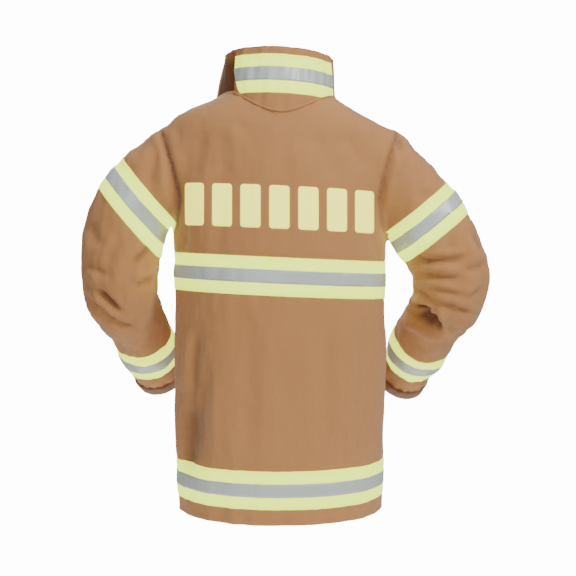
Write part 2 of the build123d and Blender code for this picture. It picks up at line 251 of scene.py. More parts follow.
# ------------ folds
# Each fold is a line across the back or front of the coat: x and z of its start, x and z of its end, its
# width and its depth. A ridge stands beside it, on the side the last number points to.
BACK_FOLDS = [
    (239, -25, 222, -100, 9, 4.5, 1), (222, -100, 209, -190, 10, 5.5, 1),
    (250, -60, 262, -150, 12, 4, 1), (-236, -40, -214, -120, 10, 4.5, -1),
    (-214, -120, -202, -190, 10, 4.5, -1), (166, -430, 180, -570, 13, 6, 1),
    (180, -570, 194, -735, 20, 11, 1), (150, -500, 160, -700, 16, 4, -1),
    (206, -420, 207, -700, 10, 4, 1), (62, -380, 54, -690, 30, 3.5, 1),
    (-18, -420, -30, -650, 34, 2.5, 1), (-104, -390, -112, -700, 30, 3.5, -1),
    (-165, -400, -176, -640, 22, 3.5, -1), (104, -60, 118, -270, 30, 3, 1),
    (-70, -20, -120, -140, 28, 2.5, 1), (150, -30, 176, -140, 20, 4, 1),
    (-140, -30, -172, -110, 18, 3, -1), (92, 10, 60, -40, 14, 3, 1),
    (188, -230, 214, -300, 10, 4, 1), (-190, -240, -214, -310, 10, 3, -1),
    # left sleeve
    (378, -352, 322, -402, 8, 9, -1), (402, -300, 345, -325, 10, 4, -1),
    (362, -408, 298, -442, 8, 5, -1), (262, -262, 300, -300, 10, 6, 1),
    (255, -330, 300, -345, 9, 5, 1), (396, -372, 350, -412, 8, 5, -1),
    (300, -120, 330, -100, 14, 3, 1), (392, -215, 360, -270, 14, 3.5, 1),
    (318, -250, 350, -300, 12, 3, 1),
    # right sleeve
    (-292, -398, -328, -430, 14, 16, 1), (-276, -388, -322, -392, 6, 9, 1),
    (-322, -396, -338, -448, 6, 9, -1), (-262, -418, -330, -462, 9, -7, 1),
    (-286, -262, -300, -268, 7, 10, 1), (-250, -30, -246, -76, 9, 7, 1),
    (-272, -352, -345, -392, 10, 7, 1), (-277, -296, -384, -287, 8, 6, 1),
    (-280, -322, -372, -330, 8, 5, 1), (-283, -345, -376, -366, 7, 5, 1),
    (-330, -376, -400, -402, 8, 5, 1), (-425, -300, -372, -312, 9, 4, 1),
    (-420, -345, -380, -372, 8, 4, 1), (-262, -270, -300, -290, 9, 5, 1),
    (-395, -235, -420, -275, 12, 4, 1), (-352, -255, -342, -285, 12, 3, 1),
    (-290, -150, -310, -175, 14, 2.5, 1),
]
FRONT_FOLDS = [
    (250, -60, 205, -200, 10, 6, 1), (-250, -60, -205, -200, 10, 6, -1),
    (120, -20, 140, -240, 26, 4, 1), (-110, -20, -140, -250, 26, 4, -1),
    (150, -380, 140, -480, 22, 4, 1), (-150, -380, -145, -480, 22, 4, -1),
    (265, -290, 400, -300, 9, 6, 1), (268, -325, 402, -340, 9, 7, 1),
    (275, -360, 395, -378, 8, 5, 1), (-275, -290, -425, -300, 9, 6, 1),
    (-275, -325, -430, -345, 9, 7, 1), (-285, -362, -420, -382, 8, 5, 1),
]


def fold_shift(points, normals, folds, facing):
    shift = np.zeros(len(points))
    window = np.clip(normals[:, 1] * facing * 2.2 + 0.35, 0, 1)
    for x0, z0, x1, z1, width, depth, ridge in folds:
        a, b = np.array([x0, z0], float), np.array([x1, z1], float)
        d = b - a
        p = points[:, [0, 2]] - a
        t = np.clip(p @ d / d.dot(d), 0, 1)
        off = p - t[:, None] * d
        sideways = 0 if abs(d[1]) > abs(d[0]) else 1
        side = np.sign(off[:, sideways] * ridge + 1e-6)
        dist = np.linalg.norm(off, axis=1)
        taper = np.clip(np.minimum(t, 1 - t) * 3.0 + 0.25, 0, 1)
        valley = -1.5 * depth * np.exp(-(dist / width) ** 2)
        bank = 0.95 * depth * np.exp(-((dist - 1.7 * width) / (1.1 * width)) ** 2) * (side > 0)
        shift += (valley + bank) * taper * window
    return shift


def ripple(points, size, seed):
    places = [Vector((p[0] / size + seed, p[1] / size, p[2] / size * 0.6)) for p in points]
    return np.array([noise.fractal(place, 0.9, 2.1, 3) for place in places])


on_sleeve = np.zeros(len(co))
for key, s in SLEEVES.items():
    s["index"], s["dist"] = near_path(co, s)
    beyond = np.clip((s["side"] * co[:, 0] - 232) / 30, 0, 1)
    on_sleeve = np.maximum(on_sleeve, beyond)

calm_front = (co[:, 1] < 0) & (np.abs(co[:, 0]) < 200) & (on_sleeve < 0.1)
strength = np.where(calm_front, np.where((np.abs(co[:, 0]) < 66), 0.0, 0.35), 1.0)
strength *= np.where(np.abs(co[:, 0]) < 150, np.clip((-12 - co[:, 2]) / 40, 0.08, 1), 1.0)
shift = fold_shift(co, nor, BACK_FOLDS, 1) + fold_shift(co, nor, FRONT_FOLDS, -1) * 0.9
# painted shade: how much the colour is darkened in each fold valley, more on the sleeves, where shade falls
painted_shade_of = np.clip(-shift / 11.0 - 0.3, 0, 1) * np.where(on_sleeve > 0.5, 1.0, 0.6)
shift += ripple(co, 95.0, 3.1) * (3.2 + 2.6 * on_sleeve)
stretch = co * np.array([1.0, 1.0, 0.35])
shift += ripple(stretch, 34.0, 9.7) * (2.0 + 2.2 * on_sleeve)
# the trims pull the cloth in a little between their stitched edges, and the hem puckers
for middle in (CHEST_Z, HEM_TRIM_Z):
    across = co[:, 2] - middle - co[:, 0] * math.tan(LEAN if middle == CHEST_Z else 0)
    edge = np.exp(-((np.abs(across) - TRIM / 2) / 5.0) ** 2)
    around = np.arctan2(co[:, 0], co[:, 1]) * 210
    shift += (1 - on_sleeve) * edge * (-1.0 + 0.9 * np.sin(around / 7.0) * np.sin(around / 31.0 + 1.0))
hem = np.exp(-((co[:, 2] - HEM_Z - 12) / 14.0) ** 2)
shift += (1 - on_sleeve) * hem * (-1.5 + 1.4 * np.sin(np.arctan2(co[:, 0], co[:, 1]) * 210 / 9.0))
for key, s in SLEEVES.items():
    cu, el = s["cuff"], s["elbow"]
    along = (co - el) @ unit(cu - el)
    length = np.linalg.norm(cu - el)
    mine = (s["side"] * co[:, 0] > 180) & (along > 60) & (s["dist"] < 110)
    axis_point = el + along[:, None] * unit(cu - el)
    radial = co - axis_point
    turn = np.arctan2(radial[:, 0], radial[:, 1])
    gather = np.clip((along - length + 62) / 40.0, 0, 1)
    calm = np.clip((length - 18 - along) / 45.0, 0.06, 1)
    shift = np.where(mine, shift * calm, shift)
    shift += mine * gather * 1.3 * np.sin(turn * 13 + 0.8 * np.sin(turn * 3))
    band = np.exp(-((np.abs(along - FOREARM_TRIM * length) - TRIM / 2) / 6.0) ** 2)
    shift -= mine * band * 2.0
    shift += mine * np.clip(1 - np.abs(along - FOREARM_TRIM * length) / 46, 0, 1) * 2.0
co = co + nor * (shift * strength)[:, None]
# under the closure the fronts lie flat on the zip's line
flat = np.clip((92 - np.abs(co[:, 0])) / 40, 0, 1) * (co[:, 1] < -60) * np.clip((24 - co[:, 2]) / 20, 0, 1)
flat = flat * flat * (3 - 2 * flat)
line = -np.array([front_depth(z) for z in co[:, 2]]) - 0.5
co[:, 1] = co[:, 1] * (1 - flat) + line * flat
whole.vertices.foreach_set("co", (co * 0.001).ravel())
whole.update()

# ------------ cutting it into pieces
faces_all = [tuple(p.vertices) for p in whole.polygons]
nor = np.array([v.normal for v in whole.vertices])
tree = BVHTree.FromPolygons([Vector(c) for c in co], faces_all)


def seam_x(z):
    """How far out the armhole seam lies at height z, on either side."""
    heights = [-330, -285, -262, -220, -166, -100, -20, 20]
    return np.interp(z, heights, [262, 246, 236, 214, 206, 220, 247, 256])


def finish_surface(name, bm):
    """Turns a cut bmesh, in millimetres, into a piece in metres, without the crumbs of a cut."""
    bm.faces.ensure_lookup_table()
    seen, crumbs = set(), []
    for start in bm.faces:
        if start in seen:
            continue
        island, waiting = [], [start]
        seen.add(start)
        while waiting:
            f = waiting.pop()
            island.append(f)
            for e in f.edges:
                for g in e.link_faces:
                    if g not in seen:
                        seen.add(g)
                        waiting.append(g)
        if len(island) < 60:
            crumbs += island
    bmesh.ops.delete(bm, geom=crumbs, context="FACES")
    bmesh.ops.delete(bm, geom=[v for v in bm.verts if not v.link_faces], context="VERTS")
    mesh = bpy.data.meshes.new(name)
    bmesh.ops.scale(bm, vec=(0.001, 0.001, 0.001), verts=bm.verts)
    bm.to_mesh(mesh)
    bm.free()
    return smooth_piece(name, mesh)


def keep_faces(verts, faces, keep):
    """A bmesh of the kept faces only, in millimetres."""
    used = np.zeros(len(verts), bool)
    kept = [f for f, k in zip(faces, keep) if k]
    for f in kept:
        used[list(f)] = True
    new = np.cumsum(used) - 1
    bm = bmesh.new()
    for v in verts[used]:
        bm.verts.new(v)
    bm.verts.ensure_lookup_table()
    for f in kept:
        bm.faces.new([bm.verts[new[i]] for i in f])
    return bm


def cut_plane(bm, point, normal):
    """Keeps what lies on the side the normal points away from."""
    bmesh.ops.bisect_plane(bm, geom=bm.verts[:] + bm.edges[:] + bm.faces[:], dist=0.001,
                           plane_co=Vector(point), plane_no=Vector(normal), clear_outer=True)


centre = np.array([co[list(f)].mean(axis=0) for f in faces_all])
# painted shadow: a dark line along each armhole seam, darker on the wearer's left, where the fold there
# casts shade
for side, depth in ((1, 0.95), (-1, 0.6)):
    off_seam = side * co[:, 0] - seam_x(co[:, 2]) + 3
    stretch_of_seam = np.clip((co[:, 2] + 262) / 40, 0, 1) * np.clip((5 - co[:, 2]) / 40, 0, 1)
    painted_shade_of = np.maximum(painted_shade_of, depth * np.exp(-(off_seam / 5.5) ** 2) * stretch_of_seam)
is_sleeve = {}
for key, s in SLEEVES.items():
    is_sleeve[key] = (s["side"] * centre[:, 0] > seam_x(centre[:, 2])) & (centre[:, 2] > -760)
    below = centre[:, 2] < -262
    path_d = np.linalg.norm(centre - s["path"][s["index"][[f[0] for f in faces_all]]], axis=1)
    beside = (s["side"] * centre[:, 0] > 232) | ((s["side"] * centre[:, 0] > 195) & (centre[:, 1] < -95))
    is_sleeve[key] |= below & (path_d < 97) & beside
body_keep = ~(is_sleeve["left"] | is_sleeve["right"])
in_neck = (centre[:, 2] > 8) & ((centre[:, 0] / 106) ** 2 + (centre[:, 1] / 90) ** 2 < 1)
body_keep &= ~in_neck


def shell_normals(piece):
    """Gives the piece the whole garment's normals and its painted crease shade, so that a cut doesn't show
    as a shade.
    """
    normals, crease_shades = [], []
    for v in piece.data.vertices:
        hit, n, face, d = tree.find_nearest(v.co * 1000)
        f = faces_all[face]
        w = [1.0 / (np.linalg.norm(co[i] - np.array(v.co) * 1000) + 0.05) for i in f]
        m = sum((nor[i] * k for i, k in zip(f, w)), np.zeros(3))
        normals.append(unit(m))
        crease_shades.append(sum(painted_shade_of[i] * k for i, k in zip(f, w)) / sum(w))
    piece.data.normals_split_custom_set_from_vertices(normals)
    put_attribute(piece, "crease", crease_shades)


def put_attribute(piece, name, values):
    a = piece.data.attributes.new(name, "FLOAT", "POINT")
    a.data.foreach_set("value", np.asarray(values, np.float32))


def thicken(piece, thickness, rim=True):
    solid = piece.modifiers.new("cloth", "SOLIDIFY")
    solid.thickness = thickness
    solid.offset = -1.0
    solid.use_rim = rim


def move_out(mesh, out):
    """Moves a mesh along its own normals by out metres."""
    c = np.array([v.co for v in mesh.vertices])
    n = np.array([v.normal for v in mesh.vertices])
    mesh.vertices.foreach_set("co", (c + n * out).ravel())


def offset_copy(piece, name, out):
    mesh = piece.data.copy()
    mesh.name = name
    move_out(mesh, out)
    return new_object(name, mesh)


def front_split(bm, half_gap):
    """Opens the front from hem to neck along a straight strip."""
    for x, n in ((half_gap, 1), (-half_gap, -1)):
        fronts = [f for f in bm.faces if f.calc_center_median().y < 0]
        edges = list({e for f in fronts for e in f.edges})
        verts = list({v for f in fronts for v in f.verts})
        bmesh.ops.bisect_plane(bm, geom=verts + edges + fronts, dist=0.001,
                               plane_co=(x, 0, 0), plane_no=(n, 0, 0))
    middles = {f: f.calc_center_median() for f in bm.faces}
    gone = [f for f, m in middles.items() if m.y < 0 and abs(m.x) < half_gap]
    bmesh.ops.delete(bm, geom=gone, context="FACES")


bm = keep_faces(co, faces_all, body_keep)
cut_plane(bm, (0, 0, HEM_Z), (0, 0, -1))
front_split(bm, 12.0)
body_shell = finish_surface("coat_shell", bm)
pieces = {}
for key, s in SLEEVES.items():
    el, cu, be = s["elbow"], s["cuff"], s["bend"]
    upper_way, fore_way = unit(el - be), unit(cu - el)
    s["upper_way"], s["fore_way"] = upper_way, fore_way
    s["join_at"] = el - upper_way * 42
    bm = keep_faces(co, faces_all, is_sleeve[key])
    cut_plane(bm, s["join_at"], upper_way)
    # the cuff also reaches back above this plane, so only what hangs on the head stays
    loose = [f for f in bm.faces if f.calc_center_median().y < -95]
    bmesh.ops.delete(bm, geom=loose, context="FACES")
    pieces[key + "_upper"] = finish_surface(key + "_upper_sleeve_cloth", bm)
    bm = keep_faces(co, faces_all, is_sleeve[key])
    cut_plane(bm, s["join_at"], -upper_way)
    cut_plane(bm, cu - fore_way * 6, fore_way)
    pieces[key + "_fore"] = finish_surface(key + "_forearm_cloth", bm)
for p in [body_shell, *pieces.values()]:
    shell_normals(p)


def blend_upper(piece):
    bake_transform(piece)


def blend_fore(piece):
    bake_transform(piece)


# ------------ materials
def material(name, color, rough=0.85, weave=0.0, mottle=0.08, bump=0.25, sheen=0.25, metallic=0.0,
             pattern=None, wear=0.0, glow=0.0, crease_shade=0.0):
    """A cloth, tape or metal, its colour and relief made from noise in the piece's own coordinates, with
    painted shade in its creases and a painted glow where asked.
    """
    m = bpy.data.materials.new(name)
    m.use_nodes = True
    nt = m.node_tree
    bsdf = nt.nodes["Principled BSDF"]

    def feed(socket, v):
        if isinstance(v, (int, float)):
            socket.default_value = v
        elif isinstance(v, (tuple, list)):
            socket.default_value = (*v[:3], 1.0)
        else:
            nt.links.new(v, socket)

    def node(kind, **inputs):
        """A node with some of its inputs set or linked by name."""
        n = nt.nodes.new("ShaderNode" + kind)
        for which, v in inputs.items():
            feed(n.inputs[which], v)
        return n

    def calc(kind, a, b=None, clamp=False):
        n = node("Math")
        n.operation = kind
        n.use_clamp = clamp
        feed(n.inputs[0], a)
        if b is not None:
            feed(n.inputs[1], b)
        return n.outputs[0]

    def times(a, b, clamp=False):
        return calc("MULTIPLY", a, b, clamp)

    def mix(kind, fac, a, b):
        n = node("Mix")
        n.data_type = "RGBA"
        n.blend_type = kind
        for i, v in ((0, fac), (6, a), (7, b)):
            feed(n.inputs[i], v)
        return n.outputs[2]

    def attribute(which):
        n = node("Attribute")
        n.attribute_name = which
        return n.outputs["Fac"]

    here = node("TexCoord").outputs["Object"]

    def noise_of(scale, detail=4.0):
        return node("TexNoise", Scale=scale, Detail=detail, Vector=here).outputs["Fac"]

    for which, v in (("Roughness", rough), ("Metallic", metallic), ("Sheen Weight", sheen),
                     ("Sheen Roughness", 0.6)):
        feed(bsdf.inputs[which], v)
    broad = calc("SUBTRACT", noise_of(7.0, 3.0), 0.5)
    fine = calc("SUBTRACT", noise_of(420.0, 2.0), 0.5)
    shade = calc("ADD", times(broad, mottle * 4), times(fine, mottle * 2.5))
    dark = tuple(c * 0.66 for c in color)
    light = tuple(min(1.0, c * 1.22 + 0.01) for c in color)
    out = mix("MIX", calc("ADD", 0.5, shade, clamp=True), dark, light)
    height = calc("ADD", noise_of(38.0, 5.0), times(noise_of(900.0, 1.0), 0.10))
    if weave:
        turn = node("Mapping", Vector=here)
        turn.inputs["Rotation"].default_value = (0.0, math.radians(52), 0.0)
        wave = node("TexWave", Scale=0.314 / weave, Distortion=0.6, Vector=turn.outputs["Vector"])
        height = calc("ADD", height, times(wave.outputs["Fac"], 0.16))
        out = mix("MULTIPLY", times(wave.outputs["Fac"], 0.10), out, (0.55, 0.5, 0.45))
    if wear:
        sharp = calc("SUBTRACT", node("NewGeometry").outputs["Pointiness"], 0.5)
        edge = times(sharp, 9.0, clamp=True)
        out = mix("MIX", times(edge, wear), out, tuple(min(1, c * 1.5 + 0.03) for c in color))
    if pattern in ("tape", "stripe"):
        # rows of stitches along both edges, and a fine embossed grain
        tape = pattern == "tape"
        across, along = attribute("across"), attribute("along")
        half = (TRIM if tape else SILVER) / 2000
        for inset in ((0.0035, 0.0062) if tape else (0.0022,)):
            off = calc("ABSOLUTE", calc("SUBTRACT", calc("ABSOLUTE", across), half - inset))
            line = calc("SUBTRACT", 1.0, times(off, 1.0 / 0.0008), clamp=True)
            dash = calc("GREATER_THAN", calc("SINE", times(along, 2 * math.pi / 0.0034)), -0.45)
            thread_color = (0.35, 0.42, 0.12) if tape else (0.3, 0.32, 0.3)
            out = mix("MIX", times(times(line, dash), 0.55), out, thread_color)
            height = calc("SUBTRACT", height, times(line, 0.9))
        cells = node("TexVoronoi", Scale=520.0 if tape else 300.0, Vector=here)
        height = calc("ADD", height, times(cells.outputs["Distance"], 0.25))
    if pattern in ("quilt", "knit"):
        axes = node("SeparateXYZ", Vector=here)
        x, y, z = (axes.outputs[which] for which in "XYZ")
    if pattern == "quilt":
        total = 1.0
        level = calc("ADD", x, y)
        for sign in (1, -1):
            d = calc("ADD", z, times(level, sign * 0.75))
            line = calc("ABSOLUTE", calc("SINE", times(d, math.pi / 0.055)))
            total = times(total, calc("POWER", line, 0.35))
        height = calc("ADD", times(height, 0.3), times(total, 2.5))
        seams = calc("SUBTRACT", 0.8, times(total, 0.8), clamp=True)
        out = mix("MULTIPLY", seams, out, (0.5, 0.48, 0.4))
    if pattern == "knit":
        rib = calc("SINE", times(calc("ADD", x, times(z, 0.4)), 900.0))
        height = calc("ADD", height, times(rib, 0.3))
    # painted shade: darkens the colour towards dark brown where the crease attribute marks fold valleys,
    # the armhole seams and the collar's fold, where shade falls
    if crease_shade:
        out = mix("MULTIPLY", times(attribute("crease"), crease_shade), out, (0.26, 0.18, 0.12))
    feed(bsdf.inputs["Base Color"], out)
    # painted glow: the colour is also sent out as light, so the tape and blocks shine though they are no
    # lamp
    if glow:
        feed(bsdf.inputs["Emission Color"], out)
        feed(bsdf.inputs["Emission Strength"], glow)
    relief = node("Bump", Strength=bump, Distance=0.0035, Height=height)
    feed(bsdf.inputs["Normal"], relief.outputs["Normal"])
    return m


# the canvas and the lime tape get painted shade in their creases
CANVAS = material("tan canvas", (0.53, 0.235, 0.072), 0.86, weave=0.0013, mottle=0.035, bump=0.30,
                  sheen=0.15, wear=0.25, crease_shade=0.9)
# the lime tape and the pale blocks get a painted glow
LIME = material("lime tape", (0.70, 1.0, 0.05), 0.6, mottle=0.03, bump=0.16, sheen=0.1, pattern="tape",
                glow=2.2, crease_shade=0.5)
STRIPE = material("silver stripe", (0.62, 0.67, 0.63), 0.42, mottle=0.04, bump=0.12, sheen=0.0,
                  metallic=0.12, pattern="stripe")
PALE = material("pale reflective", (1.0, 0.97, 0.10), 0.5, mottle=0.02, bump=0.08, sheen=0.0, glow=1.8)
QUILT = material("quilted liner", (0.56, 0.47, 0.27), 0.9, mottle=0.06, bump=0.5, sheen=0.3,
                 pattern="quilt")
FILM = material("moisture film", (0.72, 0.68, 0.55), 0.5, mottle=0.04, bump=0.15, sheen=0.0)
DARK_LINING = material("collar lining", (0.33, 0.15, 0.06), 0.9, weave=0.0012, mottle=0.05, bump=0.3)
BLACK_TAPE = material("zip tape", (0.03, 0.03, 0.032), 0.8, weave=0.001, mottle=0.1, bump=0.3)
LOOP = material("loop pile", (0.025, 0.025, 0.028), 1.0, mottle=0.2, bump=0.8, sheen=0.5)
KNIT = material("rib knit", (0.50, 0.36, 0.16), 0.95, mottle=0.06, bump=0.5, sheen=0.4, pattern="knit")
LEATHER = material("cuff leather", (0.22, 0.09, 0.035), 0.7, mottle=0.1, bump=0.35, sheen=0.2, wear=0.4)
BRASS = material("zip brass", (0.62, 0.42, 0.16), 0.34, mottle=0.08, bump=0.08, sheen=0.0,
                 metallic=1.0, wear=0.3)
THREAD = material("stitching thread", (0.62, 0.33, 0.14), 0.7, mottle=0.05, bump=0.2)


def wear_material(piece, m):
    piece.data.materials.clear()
    piece.data.materials.append(m)


def edge_roll(piece, width):
    bevel = piece.modifiers.new("soft edge", "BEVEL")
    bevel.width = width
    bevel.segments = 3
    bevel.limit_method = "ANGLE"
    bevel.angle_limit = math.radians(50)


def dress(piece, m, slot_name, thickness, body, *nodes, rolled=0.0):
    """Gives a piece its cloth, the CAD nodes it stands for and the body it rides on."""
    wear_material(piece, m)
    if thickness:
        thicken(piece, thickness)
    if rolled:
        edge_roll(piece, rolled)
    if nodes:
        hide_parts(*nodes)
    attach(piece, body)


def stitches(name, points, body):
    """Small diamonds of thread, four points each."""
    faces = [(k, k + 1, k + 2, k + 3) for k in range(0, len(points), 4)]
    dress(make_mesh(name, points, faces), THREAD, "canvas", 0.0004, body)


# ------------ shell, linings, trim
body_liner = offset_copy(body_shell, "quilted_body_liner", -0.0075)
body_film = offset_copy(body_shell, "body_moisture_film", -0.0042)
dress(body_shell, CANVAS, "canvas", 0.0016, "coat_body", "back_panel", "left_front_panel",
      "right_front_panel")
dress(body_liner, QUILT, "quilted_liner", 0.003, "coat_body", "thermal_liner")
dress(body_film, FILM, "barrier", 0.0006, "coat_body", "moisture_barrier")

for key, s in SLEEVES.items():
    for half in ("upper", "fore"):
        cloth = pieces[f"{key}_{half}"]
        long_name = "upper_sleeve" if half == "upper" else "forearm"
        inner = offset_copy(cloth, f"{key}_{long_name}_quilt", -0.0065)
        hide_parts(f"{key}_upper_sleeve" if half == "upper" else f"{key}_forearm_sleeve")
        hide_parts(f"{key}_upper_sleeve_liner" if half == "upper" else f"{key}_forearm_liner")
        wear_material(cloth, CANVAS)
        wear_material(inner, QUILT)
        for p, thick in ((cloth, 0.0016), (inner, 0.003)):
            if half == "upper":
                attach(p, key + "_upper_sleeve")
            else:
                blend_fore(p)
            thicken(p, thick, rim=False)
    # the cloth under the arm, between body and sleeve
    bm = keep_faces(co, faces_all, is_sleeve[key] & (centre[:, 1] > -110) & (centre[:, 2] > -330))
    cut_plane(bm, (0, 0, -88), (0, 0, 1))
    cut_plane(bm, (s["side"] * 332.0, 0, -108.3), (s["side"] * 0.951, 0, -0.310))
    cut_plane(bm, s["join_at"] - s["upper_way"] * 4, s["upper_way"])
    under = finish_surface(f"{key}_underarm_cloth", bm)
    shell_normals(under)
    move_out(under.data, -0.0018)
    wear_material(under, CANVAS)
    blend_upper(under)
    thicken(under, 0.001, rim=False)


def band(name, keep, point, normal, width, out, thick, m, slot_name, around, front_gap=0.0):
    """A strip of trim lifted off the garment's own surface between two planes."""
    point, normal = np.array(point, float), unit(normal)
    bm = keep_faces(co, faces_all, keep)
    cut_plane(bm, point + normal * width / 2, normal)
    cut_plane(bm, point - normal * width / 2, -normal)
    if front_gap:
        front_split(bm, front_gap)
    piece = finish_surface(name, bm)
    c = np.array([v.co for v in piece.data.vertices]) * 1000
    put_attribute(piece, "across", (c - point) @ normal / 1000)
    put_attribute(piece, "along", around(c) / 1000)
    shell_normals(piece)
    n = np.array([v.normal for v in piece.data.vertices])
    piece.data.vertices.foreach_set("co", ((c + n * out) * 0.001).ravel())
    wear_material(piece, m)
    thicken(piece, thick)
    return piece


def round_body(c):
    return np.arctan2(c[:, 0], c[:, 1]) * 200


def trim_bands(name, keep, point, normal, around, node, body, front_gap=0.0):
    """The lime tape and the silver stripe along its middle."""
    for kind, width, out, thick, m, slot_name, stands_for in (
            ("_tape", TRIM, 1.3, 0.0010, LIME, "lime_tape", node),
            ("_silver", SILVER, 2.4, 0.0009, STRIPE, "silver_stripe", node + "_stripe")):
        piece = band(name + kind, keep, point, normal, width, out, thick, m, slot_name, around, front_gap)
        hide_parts(stands_for)
        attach(piece, body)


for label, z in (("chest_trim", CHEST_Z), ("hem_trim", HEM_TRIM_Z)):
    tilt = lean_at(z)
    trim_bands(label, body_keep, (0, 0, z), (-math.sin(tilt), 0, math.cos(tilt)), round_body, label,
               "coat_body", 15.0)

for key, s in SLEEVES.items():
    el, cu = s["elbow"], s["cuff"]
    at = el + (cu - el) * FOREARM_TRIM

    def round_upper(c, s=s):
        r = c - s["trim_at"]
        return np.arctan2(r[:, 1], r @ unit(np.cross(s["trim_faces"], (0, 1, 0)))) * 80

    def round_fore(c, at=at, way=s["fore_way"]):
        r = c - at
        a = unit(np.cross(way, (0, 1, 0)))
        return np.arctan2(r @ np.cross(way, a), r @ a) * 62
    for where, point, normal, around in (("upper", s["trim_at"], s["trim_faces"], round_upper),
                                         ("forearm", at, s["fore_way"], round_fore)):
        keep = is_sleeve[key] & ((centre[:, 2] > -330) if where == "upper" else (centre[:, 2] < -380))
        if where == "upper":
            keep &= centre[:, 1] > -110
        trim_bands(f"{key}_{where}", keep, point, normal, around, f"{key}_{where}_trim",
                   key + ("_upper_sleeve" if where == "upper" else "_forearm"))

# ------------ collar
COLLAR_TOP = 132.0
SEAM = [(0, 0.0), (25, 6.0), (50, 24.0), (75, 42.0), (100, 46.0), (160, 44.0)]


def collar_seam(theta):
    return float(np.interp(abs(math.degrees(theta)), [a for a, _ in SEAM], [z for _, z in SEAM]))


def collar_point(theta, z, out=0.0):
    """A point of the stand collar, open at the throat, its left end leaning outwards."""
    t = min(1.0, max(0.0, z / COLLAR_TOP))
    deg = math.degrees(theta)
    half = 114.5 - 3.0 * t + 2.5 * math.sin(math.pi * t)
    back = 113.0 - 12.0 * t
    front = 99.0 + 5.0 * t
    wave = 1.1 * math.sin(theta * 9.0 + 0.6) * t
    wave += 0.6 * math.sin(theta * 31.0 + 5 * t) + 0.8 * math.sin(theta * 17.0 - 4 * t)
    crease = -62.0 * math.exp(-abs((deg - 69 + 4 * t) / 9.0) ** 3) * (1 - t ** 4) * min(1.0, 0.3 + 2.5 * t)
    crease += -5.0 * math.exp(-((deg + 76) / 5.0) ** 2) * (1 - 0.5 * t)
    lean_out = max(0.0, min(1.0, (deg - 76) / 34))
    lean_out = lean_out * lean_out * (3 - 2 * lean_out)
    settle = max(0.0, min(1.0, (156 - deg) / 44))
    flare = 38.0 * lean_out * settle * (1.0 - 0.78 * t)
    r = out + wave + crease + flare
    x = (half + r) * math.sin(theta)
    y = (back - front) / 2 + ((back + front) / 2 + r) * math.cos(theta)
    rise = 3.0 * math.exp(-(deg / 60.0) ** 2) - 6.0 * lean_out
    return Vector((x * math.cos(LEAN), y, z + x * math.sin(LEAN) + rise * t))


def collar_sheet(name, out, low, high, start, end, columns, rows, ends=None):
    """A grid on the collar from start to end degrees; low and high give its edges at an angle."""
    verts, across, along, fold_shade = [], [], [], []
    for j in range(rows + 1):
        t = j / rows
        for i in range(columns + 1):
            lo_deg, hi_deg = (start, end) if ends is None else ends(t)
            theta = math.radians(lo_deg + (hi_deg - lo_deg) * i / columns)
            a, b = low(theta), high(theta)
            verts.append(collar_point(theta, a + (b - a) * t, out))
            across.append((t - 0.5) * (b - a) / 1000)
            along.append(theta * 0.112)
            # painted shade: the colour is darkened in the collar's fold near 81 degrees, where shade falls
            # inside the notch
            up = max(0.0, a + (b - a) * t) / COLLAR_TOP
            from_fold = (math.degrees(theta) - 81 + 5 * up) / 13.0
            fold_shade.append(1.5 * math.exp(-from_fold ** 4) * (1 - up ** 5))
    piece = make_mesh(name, verts, grid_faces(columns, rows))
    put_attribute(piece, "across", across)
    put_attribute(piece, "along", along)
    put_attribute(piece, "crease", np.clip(fold_shade, 0, 1))
    return piece


collar = collar_sheet("collar_cloth", 0.0, lambda a: collar_seam(a) - (22 if abs(a) > 1.3 else 9),
                      lambda a: COLLAR_TOP, -158, 158, 220, 30)
collar_in = collar_sheet("collar_inner_cloth", -4.2, lambda a: collar_seam(a) - 10,
                         lambda a: COLLAR_TOP - 2, -157, 157, 220, 24)
dress(collar, CANVAS, "canvas", 0.0018, "coat_body", "collar_shell")
dress(collar_in, DARK_LINING, "collar_lining", 0.0018, "coat_body", "collar_lining")


def collar_tube(name, line, sides):
    """A closed tube; each point of line is a middle, half width, half height, drop and way outwards."""
    verts, faces = [], []
    for middle, wide, high, drop, away in line:
        for k in range(sides):
            a = 2 * math.pi * k / sides
            verts.append(middle + away * wide * math.cos(a) + Vector((0, 0, high * math.sin(a) - drop)))
    last = len(line) - 1
    for i in range(last):
        for k in range(sides):
            n = (k + 1) % sides
            faces.append((i * sides + k, (i + 1) * sides + k, (i + 1) * sides + n, i * sides + n))
    faces += [tuple(range(sides)), tuple(last * sides + k for k in range(sides))[::-1]]
    dress(make_mesh(name, verts, faces), CANVAS, "canvas", 0, "coat_body")


# the rolled top edge that closes the two layers
line = []
for i in range(221):
    theta = math.radians(-158 + 316 * i / 220)
    mid = (collar_point(theta, COLLAR_TOP, 0.0) + collar_point(theta, COLLAR_TOP - 1, -6.0)) / 2
    away = (collar_point(theta, COLLAR_TOP, 5.0) - collar_point(theta, COLLAR_TOP, 0.0)).normalized()
    line.append((mid, 3.6, 2.6, 0.8, away))
collar_tube("collar_top_edge", line, 10)

